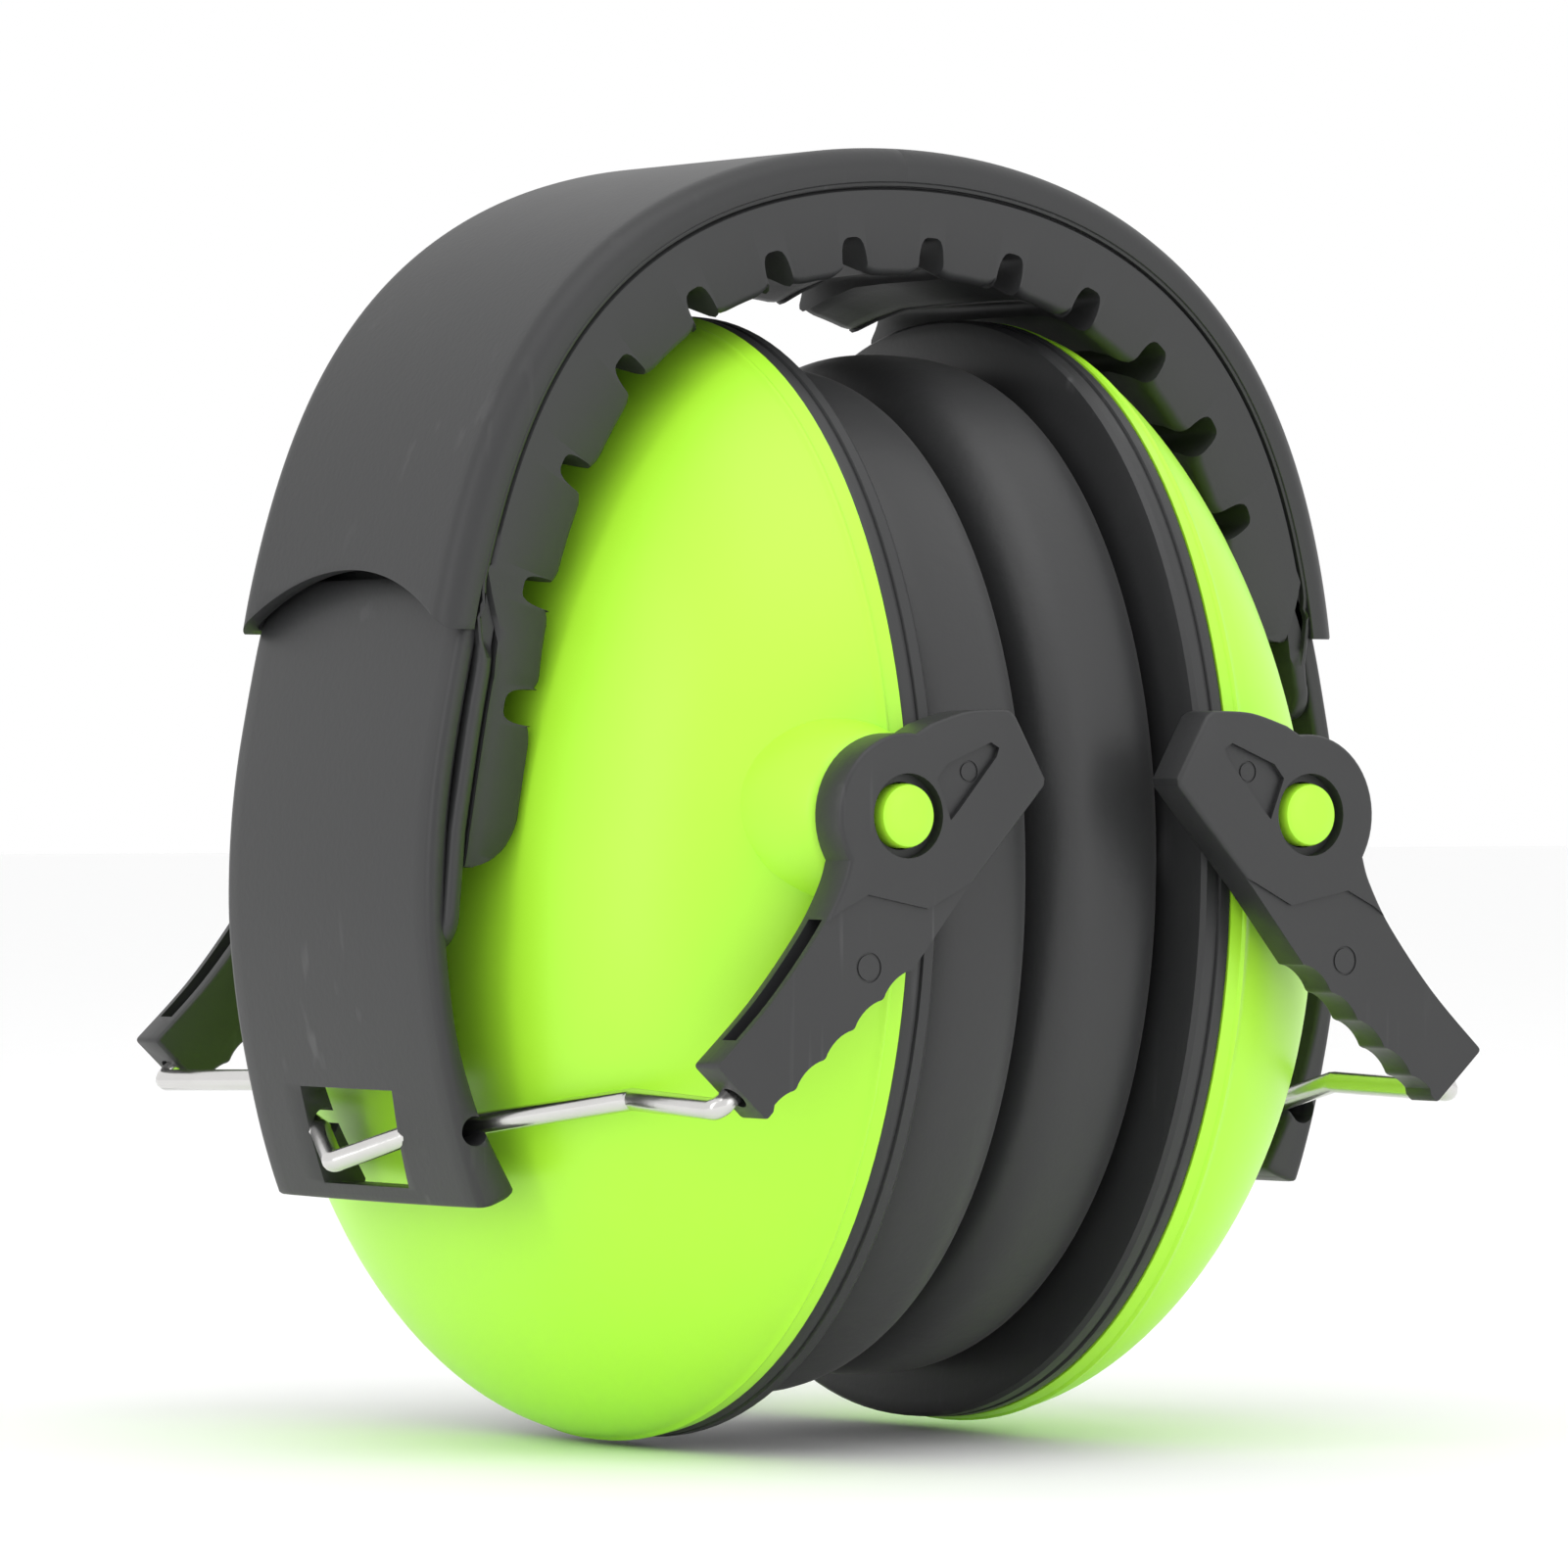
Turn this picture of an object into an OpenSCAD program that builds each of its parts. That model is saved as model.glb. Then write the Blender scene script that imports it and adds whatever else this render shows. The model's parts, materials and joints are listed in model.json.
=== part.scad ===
// Folding hearing protection earmuffs, stored folded: both cups are tucked up
// inside the headband with their ear cushions face to face.
// X is left to right, Y is front to back (the front is -Y), Z is up.
// The origin is on the ground, midway between the two cups.

/* [Headband] */
// Outer radius of the headband's arch
band_radius = 53.2; // [50:0.2:60]
// Height of the arch's centre above the ground
arch_height = 65.7; // [62:0.1:75]
// Width of the headband, front to back
band_width = 36; // [30:1:44]
// Thickness of the outer cover
cover_wall = 1.6; // [1.2:0.1:2]
// Thickness of the inner spring strip
strip_wall = 1.6; // [1.2:0.1:2]
// Thickness of the pad under the strip
pad_depth = 2.8; // [2:0.1:3.4]
// Outward lean of the two legs below the arch, in degrees
leg_lean = 5; // [3:0.5:7]
// Length of the strip's leg when the band is centred
strip_leg = 14; // [12:0.5:18]
// Length of the pad's leg when the band is centred
pad_leg = 6.5; // [5:0.5:9]
// How far the strip and pad have shifted round towards the left
band_shift = 10.5; // [0:0.5:11]
// Number of cross slots in the pad
pad_slots = 13; // [9:2:15]
// Width of each cross slot
slot_width = 2.4; // [1.6:0.2:3]
// Half angle of the crown piece between the two flex lines
crown_angle = 12; // [10:1:16]

/* [Sliders] */
// Thickness of the slider's plate
slider_wall = 2.2; // [1.8:0.1:2.4]
// Length of the straight plate above the leg's start
slider_top = 12; // [9:0.5:12.5]
// Length of the straight plate below the leg's start
slider_straight = 20.5; // [16:0.5:22]
// Radius of the slider's inward curve
slider_curve = 47; // [42:1:60]
// Thickness of the slider's foot
foot_wall = 4.2; // [3.8:0.1:4.6]
// Width of the window in the foot
window_width = 15.6; // [13:0.2:18]
// Height of the window in the foot
window_height = 9; // [8:0.2:10]

/* [Yoke wires and arms] */
// Diameter of the yoke wire
wire_d = 2; // [1.8:0.1:2.2]
// Distance of the wire's pivot in the foot from the middle plane
pivot_x = 47; // [46.5:0.1:47.5]
// Height of the wire's pivot above the ground
pivot_z = 29.2; // [28.4:0.1:30]
// Thickness of the fork arms
arm_wall = 4.2; // [3.8:0.1:5]
// Outer radius of the eye round the cup's pin
eye_radius = 7.4; // [6.5:0.1:8.5]

/* [Cups] */
// Height of a cup's rim
cup_height = 104; // [98:1:106]
// Width of a cup's rim, front to back
cup_width = 88; // [80:1:92]
// Depth of the shell's dome beyond the rim
cup_depth = 25.6; // [22:0.2:26.6]
// How far the dome's top sits below the rim's middle
cup_drop = 4; // [3:0.5:7]
// Distance of the rim from the middle plane
rim_x = 18.1; // [17:0.1:20]
// Thickness of the shell's wall
shell_wall = 2.2; // [1.8:0.1:2.6]
// Thickness of the black base ring
ring_wall = 3.6; // [3:0.1:4.2]
// Diameter of the pin that each arm turns on
pin_d = 5.7; // [5:0.1:6.4]
// Distance of the pins from the middle plane
pin_x = 22.5; // [22:0.1:23.5]
// Height of the pins above the ground
pin_z = 57.4; // [56:0.1:59]
// How far the folded pair of cups sits turned in the band, in degrees
cup_turn = 2.5; // [0:0.1:3]
// Thickness of the cushion's skin
skin_wall = 1; // [0.8:0.1:1.4]
// Thickness of the acoustic foam liner
liner_wall = 5; // [4:0.5:7]

/* [Hidden] */

$fn = 72;
eps = 0.01;
// clearances: between still pieces, for a sliding piece, for a shaft in its bore
gap = 0.2;
slide_gap = 0.3;
fit = 0.05;
cushion_gap = 0.3;

// radii of the headband's layers, from the outside in
cover_in = band_radius - cover_wall;
slider_out = cover_in - 0.7;
slider_in = slider_out - slider_wall;
strip_out = slider_in - slide_gap;
strip_in = strip_out - strip_wall;
pad_out = strip_in - gap;
pad_in = pad_out - pad_depth;
lip_out = cover_in - gap;
lip_wall = 1.2;
// the slider is narrower where it runs between the strip's lips
slider_width = band_width - 1.4;
guide_width = band_width - 2 * (lip_wall + slide_gap);
guide_end = 3;
flex_gap = 0.3;
slot_depth = pad_depth * 0.6;

// the arched cut in the cover's lower end
cut_top = 13.9;
cut_rise = 6;
corner_blunt = 1;
cut_radius = (band_width * band_width / 4 + cut_rise * cut_rise) / (2 * cut_rise);

// arm and wire, front to back
boss_face = cup_width / 2 + 1;
arm_in = boss_face + slide_gap;
arm_mid = arm_in + arm_wall / 2;
wire_r = wire_d / 2;
bore_r = wire_r + fit;
// how far the eye stands out of the arm's plate
eye_raise = 0.4;
bend_from_pin = [18.5, -25.7];
tip_from_pin = [-11.8, 1.4];
arm_outline = [[6.9, -4.4], [9.4, -9.5], [14.4, -15.8], [20.4, -21.6], [15, -26.4], [8.2, -20.6],
    [-0.5, -13.4], [-6.5, -6.6], [-15.2, 2.6], [-11.6, 9.2], [-6.5, 9.6], [-1, 6.6], [5, 3]];

// cup outline
cup_mid_z = cup_height / 2;
outline_power = 2.1;
egg = -0.05;
outline_steps = 48;
dome_rings = 9;
// how the dome narrows up and down, how it narrows front to back, and how it rises
dome_power = 1;
flank_power = 0.7;
rise_power = 1.2;
cushion_scale = 0.93;
cushion_hole = 0.56;
ear_hole = 0.62;
foam_gap = 0.2;

// One point of the cup's rim, at a share of its full size, as [y, z]
function power_cos(a) = sign(cos(a)) * pow(abs(cos(a)), 2 / outline_power);
function power_sin(a) = sign(sin(a)) * pow(abs(sin(a)), 2 / outline_power);
function rim_point(a, share, inset = 0) =
    let (w = cup_width / 2 * share - inset, h = cup_height / 2 * share - inset)
    [w * power_cos(a) * (1 + egg * power_sin(a)), h * power_sin(a)];
function rim(share, inset = 0) =
    [for (i = [0 : outline_steps - 1]) rim_point(360 * i / outline_steps, share, inset)];

// The right-hand piece is drawn, and the left one is its mirror image
module sided(side) {
    if (side > 0) children();
    else mirror([1, 0, 0]) children();
}

// A sector of the arch: angles are measured up from the horizontal
module arch_sector(r_in, r_out, width, low, high) {
    translate([0, 0, arch_height])
    rotate([90, 0, 0])
    rotate([0, 0, low])
    rotate_extrude(angle = high - low)
    translate([r_in, -width / 2])
    square([r_out - r_in, width]);
}

// Local frame of the right leg: x is outward, z runs up along the leg
module leg_frame() {
    translate([0, 0, arch_height]) rotate([0, -leg_lean, 0]) children();
}

// A straight layer of the leg
module leg_block(r_in, r_out, width, low, high) {
    leg_frame()
    translate([r_in, -width / 2, low])
    cube([r_out - r_in, width, high - low]);
}

// ---- headband ----
side_high = 90 - crown_angle;
gap_angle = flex_gap / band_radius * 180 / PI;

module cover_side(side) {
    sided(side)
    difference() {
        arch_sector(cover_in, band_radius, band_width, leg_lean, side_high - gap_angle);
        // the arched cut, and everything below its blunt corners
        translate([0, 0, arch_height + cut_top - cut_radius])
        rotate([0, 90, 0])
        cylinder(h = 2 * band_radius, r = cut_radius);
        translate([0, -band_width, 0])
        cube([2 * band_radius, 2 * band_width, arch_height + cut_top - cut_rise + corner_blunt]);
    }
}

// The strip's lips end above the legs, at this angle of the arch
lip_end = leg_lean + 6;

module strip_side(side) {
    leg = strip_leg - side * band_shift;
    sided(side)
    difference() {
        union() {
            arch_sector(strip_in, lip_out, band_width, leg_lean, side_high - gap_angle);
            leg_block(strip_in, lip_out, band_width, -leg, 0);
        }
        // the channel that the slider runs in, open at the sides below the lips
        arch_sector(strip_out, lip_out + 1, band_width - 2 * lip_wall, leg_lean, 90);
        arch_sector(strip_out, lip_out + 1, band_width + 2, leg_lean, lip_end);
        leg_block(strip_out, lip_out + 1, band_width + 2, -leg - 1, 0);
    }
}

// A cross slot through the pad's inner face, at an angle along the arch
module pad_slot(angle) {
    translate([0, 0, arch_height])
    rotate([0, -angle, 0])
    translate([pad_in - 1, -band_width, -slot_width / 2])
    cube([slot_depth + 1, 2 * band_width, slot_width]);
}

pad_low = leg_lean - pad_leg / pad_in * 180 / PI;
slot_pitch = (180 - 2 * pad_low) / (pad_slots + 1);
shift_angle = band_shift / pad_in * 180 / PI;

// Angles of the slots, measured on the right-hand side and corrected for the shift
function slot_angles(side) =
    [for (i = [1 : pad_slots]) pad_low + i * slot_pitch + side * shift_angle];

module pad_side(side) {
    leg = pad_leg - side * band_shift;
    low = leg > 0 ? leg_lean : leg_lean - leg / pad_in * 180 / PI;
    sided(side)
    difference() {
        union() {
            arch_sector(pad_in, pad_out, band_width - 1, low, side_high - gap_angle);
            if (leg > 0)
                leg_block(pad_in, pad_out, band_width - 1, -leg, 0);
        }
        for (a = slot_angles(side))
            if (a < side_high - 3 && a > leg_lean)
                pad_slot(a);
    }
}

module crown_cover() {
    color("#1c1d1f")
    arch_sector(cover_in, band_radius, band_width, side_high, 180 - side_high);
}

module crown_strip() {
    color("#222325")
    difference() {
        arch_sector(strip_in, lip_out, band_width, side_high, 180 - side_high);
        arch_sector(strip_out, lip_out + 1, band_width - 2 * lip_wall, side_high - 1, 181 - side_high);
    }
}

module crown_pad() {
    color("#2a2b2d")
    difference() {
        arch_sector(pad_in, pad_out, band_width - 1, side_high, 180 - side_high);
        for (a = slot_angles(1))
            if (a > side_high + 3 && a < 177 - side_high)
                pad_slot(a);
    }
}

module left_cover() { color("#1c1d1f") cover_side(-1); }
module right_cover() { color("#1c1d1f") cover_side(1); }
module left_strip() { color("#222325") strip_side(-1); }
module right_strip() { color("#222325") strip_side(1); }
module left_pad() { color("#2a2b2d") pad_side(-1); }
module right_pad() { color("#2a2b2d") pad_side(1); }

// ---- sliders ----
// The plate's outline in the leg's frame, as [x, z]: a straight stretch, then a curve inward
curve_angle = 34;
curve_steps = 12;
top_taper = 1;
// the boss ends a step inside the plate's sides
boss_radius = foot_wall / 2 + 0.3;
boss_step = 0.3;
function curve_point(a, inset) =
    [slider_out - slider_curve * (1 - cos(a)) - inset * cos(a),
    -slider_straight - slider_curve * sin(a) + inset * sin(a)];
function foot_inset(a) =
    slider_wall + (foot_wall - slider_wall) * max(0, a / curve_angle * 2 - 1);

module slider_profile() {
    polygon(concat(
        [[slider_in, slider_top], [slider_out - top_taper, slider_top], [slider_out, slider_top / 3]],
        [for (i = [0 : curve_steps]) curve_point(i * curve_angle / curve_steps, 0)],
        [for (i = [curve_steps : -1 : 0])
            curve_point(i * curve_angle / curve_steps, foot_inset(i * curve_angle / curve_steps))]));
}

module slider(side) {
    sided(side)
    difference() {
        union() {
            leg_frame()
            rotate([90, 0, 0])
            linear_extrude(slider_width, center = true)
            slider_profile();
            // boss round the wire's bore
            translate([pivot_x, 0, pivot_z])
            rotate([90, 0, 0])
            cylinder(h = slider_width - 2 * boss_step, r = boss_radius, center = true);
        }
        translate([pivot_x, 0, pivot_z])
        rotate([90, 0, 0])
        cylinder(h = 2 * slider_width, r = bore_r, center = true);
        translate([pivot_x - 8, -window_width / 2, pivot_z - window_height * 0.6])
        cube([16, window_width, window_height]);
        // the narrow top that runs between the lips
        for (end = [-1, 1])
            leg_frame()
            translate([slider_in - 5, end * (guide_width + 10) / 2 - 5, guide_end])
            cube([15, 10, 20]);
    }
}

module left_slider() { color("#26282a") slider(-1); }
module right_slider() { color("#26282a") slider(1); }

// ---- yoke wires ----
// The wire's route for the rear half of the right-hand side, from the kink to the arm's tip
kink_out = [5.3, -4.2];
kink_half = window_width / 2 - 0.9;
straight_end = 33;
// the wire's rounded corners stand this proud of its straight stretches
joint_proud = 0.04;
pin = [pin_x, pin_z];
bend = pin + bend_from_pin;
wire_end = pin + tip_from_pin;
wire_route = [
    [pivot_x + kink_out[0], 0, pivot_z + kink_out[1]],
    [pivot_x, kink_half, pivot_z],
    [pivot_x, straight_end, pivot_z],
    [bend[0], arm_mid, bend[1]],
    [wire_end[0], arm_mid, wire_end[1]]];

// A straight rod between two points
module rod(a, b, r) {
    d = b - a;
    translate(a)
    rotate([0, acos(d[2] / norm(d)), atan2(d[1], d[0])])
    cylinder(h = norm(d), r = r);
}

module half_wire() {
    for (i = [0 : len(wire_route) - 2])
        rod(wire_route[i], wire_route[i + 1], wire_r);
    for (i = [0 : len(wire_route) - 2])
        translate(wire_route[i]) sphere(r = wire_r + joint_proud);
}

module yoke_wire(side) {
    sided(side) {
        half_wire();
        mirror([0, 1, 0]) half_wire();
    }
}

module left_yoke_wire() { color("#c9cacc") yoke_wire(-1); }
module right_yoke_wire() { color("#c9cacc") yoke_wire(1); }

// ---- fork arms ----
module arm(side, end) {
    sided(side)
    mirror([0, end > 0 ? 0 : 1, 0])
    difference() {
        translate([pin_x, arm_in, pin_z])
        rotate([90, 0, 0])
        mirror([0, 0, 1])
        union() {
            cylinder(h = arm_wall, r = eye_radius);
            linear_extrude(arm_wall - eye_raise)
            polygon(arm_outline);
        }
        translate([pin_x, arm_in - 1, pin_z])
        rotate([-90, 0, 0])
        cylinder(h = arm_wall + 2, r = pin_d / 2 + fit);
        rod(wire_route[4] + (wire_route[4] - wire_route[3]) * 0.02, wire_route[3], bore_r);
    }
}

module left_front_arm() { color("#242628") arm(-1, -1); }
module left_rear_arm() { color("#242628") arm(-1, 1); }
module right_front_arm() { color("#242628") arm(1, -1); }
module right_rear_arm() { color("#242628") arm(1, 1); }

// ---- cups ----
// Rings of a dome from the rim to near its top, then one point at the top, as [x, y, z]
function dome_ring(depth, inset, i) =
    let (a = 90 * i / dome_rings, h = sin(a), c = cos(a))
    [for (p = rim(1, inset))
        [rim_x + depth * pow(h, rise_power), p[0] * pow(c, flank_power),
            cup_mid_z + p[1] * pow(c, dome_power) - cup_drop * h]];
function dome_points(depth, inset) =
    [for (i = [0 : dome_rings - 1]) for (p = dome_ring(depth, inset, i)) p];
function dome_faces() =
    let (n = outline_steps, top = dome_rings * n)
    [for (i = [0 : dome_rings - 1]) for (j = [0 : n - 1])
        let (k = (j + 1) % n, a = i * n + j, b = i * n + k)
        each i == dome_rings - 1 ? [[b, a, top]] : [[b, a, b + n], [b + n, a, a + n]]];

// A closed solid dome with a flat rim
module dome(depth, inset) {
    n = outline_steps;
    polyhedron(
        points = concat(dome_points(depth, inset),
            [[rim_x + depth, 0, cup_mid_z - cup_drop]]),
        faces = concat(dome_faces(), [[for (j = [0 : n - 1]) j]]),
        convexity = 4);
}

module shell(side) {
    boss_r = eye_radius - 0.6;
    sided(side)
    difference() {
        union() {
            dome(cup_depth, 0);
            for (end = [-1, 1])
                translate([pin_x, 0, pin_z])
                rotate([-90 * end, 0, 0]) {
                    // raised boss, then the pin that carries the arm
                    translate([0, 0, cup_width / 2 - 9])
                    cylinder(h = boss_face - cup_width / 2 + 9, r = boss_r);
                    cylinder(h = arm_in + arm_wall + 0.3, r = pin_d / 2);
                }
        }
        // the bosses and pins stop outside the rim plane and the hollow
        translate([rim_x - 20, -cup_width, 0])
        cube([20, 2 * cup_width, cup_height]);
        dome(cup_depth - shell_wall, shell_wall);
    }
}

// A flat piece of the cup's outline between two distances from the middle plane
module slab(x0, x1, share, inset = 0) {
    translate([x0, 0, cup_mid_z])
    rotate([90, 0, 90])
    linear_extrude(x1 - x0)
    polygon(rim(share, inset));
}

module base_ring(side) {
    sided(side)
    difference() {
        slab(rim_x - ring_wall, rim_x - eps, 1);
        slab(rim_x - ring_wall - 1, rim_x + 1, ear_hole);
    }
}

cushion_back = rim_x - ring_wall - eps;
cushion_face = cushion_gap;
round_step = 2;

module cushion_body(grow) {
    slab(cushion_face + grow, cushion_back - grow, cushion_scale, round_step + grow);
    slab(cushion_face + round_step + grow, cushion_back - round_step - grow, cushion_scale, grow);
}

module cushion(side) {
    sided(side)
    difference() {
        cushion_body(0);
        slab(cushion_face - 1, cushion_back + 1, cushion_hole);
        difference() {
            cushion_body(skin_wall);
            slab(cushion_face - 1, cushion_back + 1, cushion_hole, -skin_wall);
        }
    }
}

module cushion_foam(side) {
    sided(side)
    difference() {
        cushion_body(skin_wall + foam_gap);
        slab(cushion_face, cushion_back, cushion_hole, -skin_wall - foam_gap);
    }
}

module liner(side) {
    liner_back = rim_x + (cup_depth - shell_wall) * 0.74;
    sided(side)
    translate([0, 0, -cup_drop * 0.6])
    slab(liner_back - liner_wall, liner_back, 0.54);
}

// Both cups are turned the same way, each about its own pins
module turned(side) {
    translate([side * pin_x, 0, pin_z])
    rotate([0, cup_turn, 0])
    translate([-side * pin_x, 0, -pin_z])
    children();
}

module left_shell() { color("#b6f53c") turned(-1) shell(-1); }
module right_shell() { color("#b6f53c") turned(1) shell(1); }
module left_base_ring() { color("#232426") turned(-1) base_ring(-1); }
module right_base_ring() { color("#232426") turned(1) base_ring(1); }
module left_cushion() { color("#2e2f31") turned(-1) cushion(-1); }
module right_cushion() { color("#2e2f31") turned(1) cushion(1); }
module left_cushion_foam() { color("#5a5b5d") turned(-1) cushion_foam(-1); }
module right_cushion_foam() { color("#5a5b5d") turned(1) cushion_foam(1); }
module left_liner() { color("#3c3d40") turned(-1) liner(-1); }
module right_liner() { color("#3c3d40") turned(1) liner(1); }

crown_cover();
crown_strip();
crown_pad();
left_cover();
left_strip();
left_pad();
right_cover();
right_strip();
right_pad();
left_slider();
right_slider();
left_yoke_wire();
left_front_arm();
left_rear_arm();
right_yoke_wire();
right_front_arm();
right_rear_arm();
left_shell();
left_base_ring();
left_cushion();
left_cushion_foam();
left_liner();
right_shell();
right_base_ring();
right_cushion();
right_cushion_foam();
right_liner();
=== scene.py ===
# %% [markdown]
# # Folding hearing protection earmuffs
# The imported CAD model gives every size and place. It is loaded as a fixed frame, and the
# pieces that are seen are then built round it in metres; all but the headband's pieces ride on their own CAD
# body.
# %% Load the frame
import bpy
import bmesh
import json
import math
import numpy as np
from mathutils import Matrix, Vector
from mathutils.bvhtree import BVHTree


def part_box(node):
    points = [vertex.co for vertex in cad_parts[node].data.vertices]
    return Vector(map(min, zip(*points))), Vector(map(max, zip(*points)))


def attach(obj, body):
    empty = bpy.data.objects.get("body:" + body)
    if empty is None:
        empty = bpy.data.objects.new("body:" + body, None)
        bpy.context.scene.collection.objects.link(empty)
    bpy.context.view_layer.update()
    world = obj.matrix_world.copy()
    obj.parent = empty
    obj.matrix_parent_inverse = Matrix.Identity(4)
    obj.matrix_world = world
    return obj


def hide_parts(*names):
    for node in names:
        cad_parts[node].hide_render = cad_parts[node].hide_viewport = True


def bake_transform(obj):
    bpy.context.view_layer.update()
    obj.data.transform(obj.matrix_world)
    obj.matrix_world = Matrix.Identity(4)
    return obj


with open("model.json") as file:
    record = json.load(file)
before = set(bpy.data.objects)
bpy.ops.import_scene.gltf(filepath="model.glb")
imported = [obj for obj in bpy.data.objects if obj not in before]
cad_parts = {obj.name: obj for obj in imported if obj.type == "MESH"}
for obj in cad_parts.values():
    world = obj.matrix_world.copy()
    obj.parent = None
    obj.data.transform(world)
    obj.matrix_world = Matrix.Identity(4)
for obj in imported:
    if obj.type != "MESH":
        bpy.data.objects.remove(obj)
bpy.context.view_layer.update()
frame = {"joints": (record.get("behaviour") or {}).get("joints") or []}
joints = {j["name"]: j for j in frame["joints"]}

# %% [markdown]
# ## Sizes taken from the frame
# The headband is an arch with two straight legs. Its centre and radius follow from the place where
# the band flexes, its width from the box of the cover, and the pins and pivots from the joints.
# The cup's depth, drop and walls repeat the CAD model's values, because a box doesn't tell them.
# Lengths are worked in millimetres, as a maker would, and turned to metres as a mesh is made.
# %% Read the driving sizes
MM = 0.001
SIDES = (("left", -1), ("right", 1))
LEAN = math.radians(5)


def box_mm(node):
    low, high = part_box(node)
    return low / MM, high / MM


def joint_mm(name):
    return Vector(joints[name]["pos_m"]) / MM


CROWN_ANGLE = math.radians(12)
flex_at = joint_mm("right_band_flex")
BAND_R = flex_at.x / math.sin(CROWN_ANGLE)
ARCH_Z = flex_at.z - BAND_R * math.cos(CROWN_ANGLE)
BAND_HALF = box_mm("crown_cover")[1].y
PIN, PIVOT = joint_mm("right_cup_tilt"), joint_mm("right_yoke_fold")
ring_high = box_mm("right_base_ring")[1]
CUP_W, CUP_H, CUP_Z = ring_high.y, 52.0, 52.0
RIM_X, RING_X, CUSHION_BACK, CUSHION_FACE = 18.09, 14.5, 14.49, 0.3
CUP_DEPTH, CUP_DROP, SHELL_WALL = 25.6, 4.0, 2.2
CUP_TURN = math.radians(2.5)
BOSS_FACE = CUP_W + 1.0
ARM_IN, ARM_OUT = box_mm("right_rear_arm")[0].y, box_mm("right_rear_arm")[1].y
print("arch centre", round(ARCH_Z, 2), "radius", round(BAND_R, 2), "cup", round(CUP_W, 2), round(CUP_H, 2))

# %% [markdown]
# ## Mesh helpers
# Almost every piece is a *loft*: rows of points joined into quads. One helper joins the rows,
# another rounds the edges with modifiers and applies them, so each piece ends as a plain mesh.
# %% Loft and finish helpers
def new_object(name, verts, faces):
    mesh = bpy.data.meshes.new(name)
    mesh.from_pydata([tuple(c * MM for c in v) for v in verts], [], faces)
    mesh.validate()
    piece = bpy.data.objects.new(name, mesh)
    bpy.context.scene.collection.objects.link(piece)
    return piece


def loft(name, rows, close_rows=False, close_ring=True, cap=True):
    """Joins equal rows of points. close_ring joins each row's ends, close_rows joins last to first."""
    count, width = len(rows), len(rows[0])
    verts = [p for row in rows for p in row]
    faces = []
    for i in range(count if close_rows else count - 1):
        for j in range(width if close_ring else width - 1):
            a, b = i * width + j, i * width + (j + 1) % width
            c, d = ((i + 1) % count) * width + (j + 1) % width, ((i + 1) % count) * width + j
            faces.append((a, b, c, d))
    if cap and not close_rows and close_ring:
        faces.append(tuple(reversed(range(width))))
        faces.append(tuple((count - 1) * width + j for j in range(width)))
    piece = new_object(name, verts, faces)
    tidy_normals(piece)
    return piece


def tidy_normals(piece):
    bm = bmesh.new()
    bm.from_mesh(piece.data)
    bmesh.ops.remove_doubles(bm, verts=bm.verts, dist=1e-6)
    bmesh.ops.recalc_face_normals(bm, faces=bm.faces)
    bm.to_mesh(piece.data)
    bm.free()


def apply_all(piece):
    """Turns what the modifiers make into the piece's own mesh."""
    bpy.context.view_layer.update()
    made = piece.evaluated_get(bpy.context.evaluated_depsgraph_get())
    mesh = bpy.data.meshes.new_from_object(made)
    piece.modifiers.clear()
    piece.data = mesh


def soften(piece, width, segments=2, angle=30, levels=0):
    """Rounds the sharp edges, subdivides if asked, and shades the result smooth."""
    if width:
        bevel = piece.modifiers.new("edges", "BEVEL")
        bevel.width = width * MM
        bevel.segments = segments
        bevel.limit_method = "ANGLE"
        bevel.angle_limit = math.radians(angle)
        bevel.harden_normals = False
    if levels:
        piece.modifiers.new("smooth", "SUBSURF").levels = levels
    apply_all(piece)
    smooth(piece)
    return piece


def smooth(piece, sharp=40):
    for face in piece.data.polygons:
        face.use_smooth = True
    bm = bmesh.new()
    bm.from_mesh(piece.data)
    for edge in bm.edges:
        edge.smooth = len(edge.link_faces) == 2 and edge.calc_face_angle(0) < math.radians(sharp)
    bm.to_mesh(piece.data)
    bm.free()
    return piece


def mirrored(rows_or_points, sign):
    """The right-hand points, or their mirror image for the left-hand side."""
    return [(sign * p[0], p[1], p[2]) for p in rows_or_points]


def combine(piece, tool, operation):
    """Adds the tool's shape to the piece or takes it out, then deletes the tool."""
    boolean = piece.modifiers.new("combine", "BOOLEAN")
    boolean.operation = operation
    boolean.solver = "EXACT"
    boolean.object = tool
    apply_all(piece)
    bpy.data.objects.remove(tool)


def cut(piece, tool):
    combine(piece, tool, "DIFFERENCE")


def finish_piece(piece, body, material, slot, *nodes):
    piece.data.materials.clear()
    piece.data.materials.append(material)
    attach(piece, body)
    if nodes:
        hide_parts(*nodes)
    return piece


# %% [markdown]
# ## Shared surface effects
# Moulded plastic is never perfectly even. Two node groups give that life to every material:
# one puts out a fine grain and a slow mottle, the other thin straight rub marks. They put out
# masks and heights only, so each material keeps its own shader and its own plain values.
# %% Node helpers and the grain group
def group_socket(group, name, way, kind="NodeSocketFloat", value=None):
    made = group.interface.new_socket(name=name, in_out=way, socket_type=kind)
    if value is not None:
        made.default_value = value
    return made


def link(tree, source, target):
    tree.links.new(source, target)


def math_node(tree, operation, first, second):
    node = tree.nodes.new("ShaderNodeMath")
    node.operation = operation
    for socket, value in ((node.inputs[0], first), (node.inputs[1], second)):
        if hasattr(value, "is_output"):
            link(tree, value, socket)
        else:
            socket.default_value = value
    return node.outputs[0]


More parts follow.
